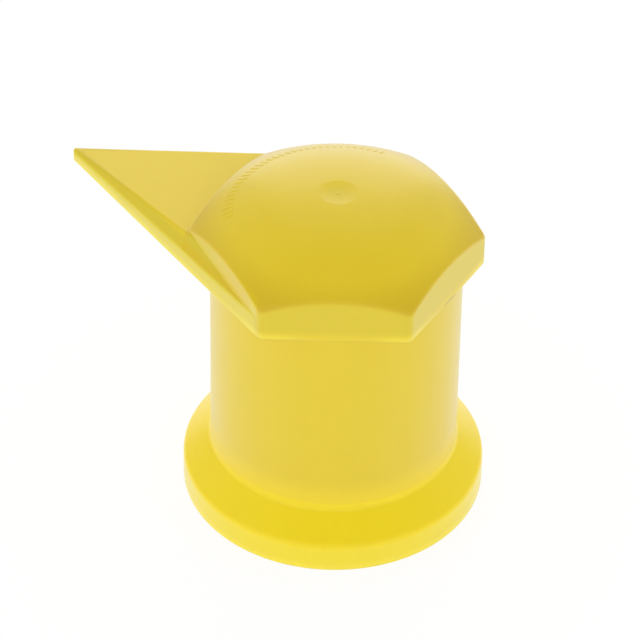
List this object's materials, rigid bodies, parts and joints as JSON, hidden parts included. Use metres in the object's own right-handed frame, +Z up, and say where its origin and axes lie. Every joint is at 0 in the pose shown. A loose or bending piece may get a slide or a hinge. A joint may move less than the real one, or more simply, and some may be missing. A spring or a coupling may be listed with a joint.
{
  "type": "loose wheel nut indicator",
  "caption": "Push-on cap for a truck wheel nut: flared foot, round barrel and domed hexagonal head with a faceted triangular pointer; hollow inside with a toothed nut grip.",
  "frame": {"origin": "centre of the foot's lower face, where the washer recess opens", "axes": "+Z up along the nut's axis towards the dome; the pointer reaches out along -X; two flats of the head are square to X"},
  "size_m": [0.0815, 0.0538, 0.0635],
  "materials": {
    "yellow_plastic": "satin moulded polyethylene, slightly translucent, bright yellow"
  },
  "bodies": {
    "root": {"indicator_cap": "yellow_plastic"}
  },
  "joints": []
}
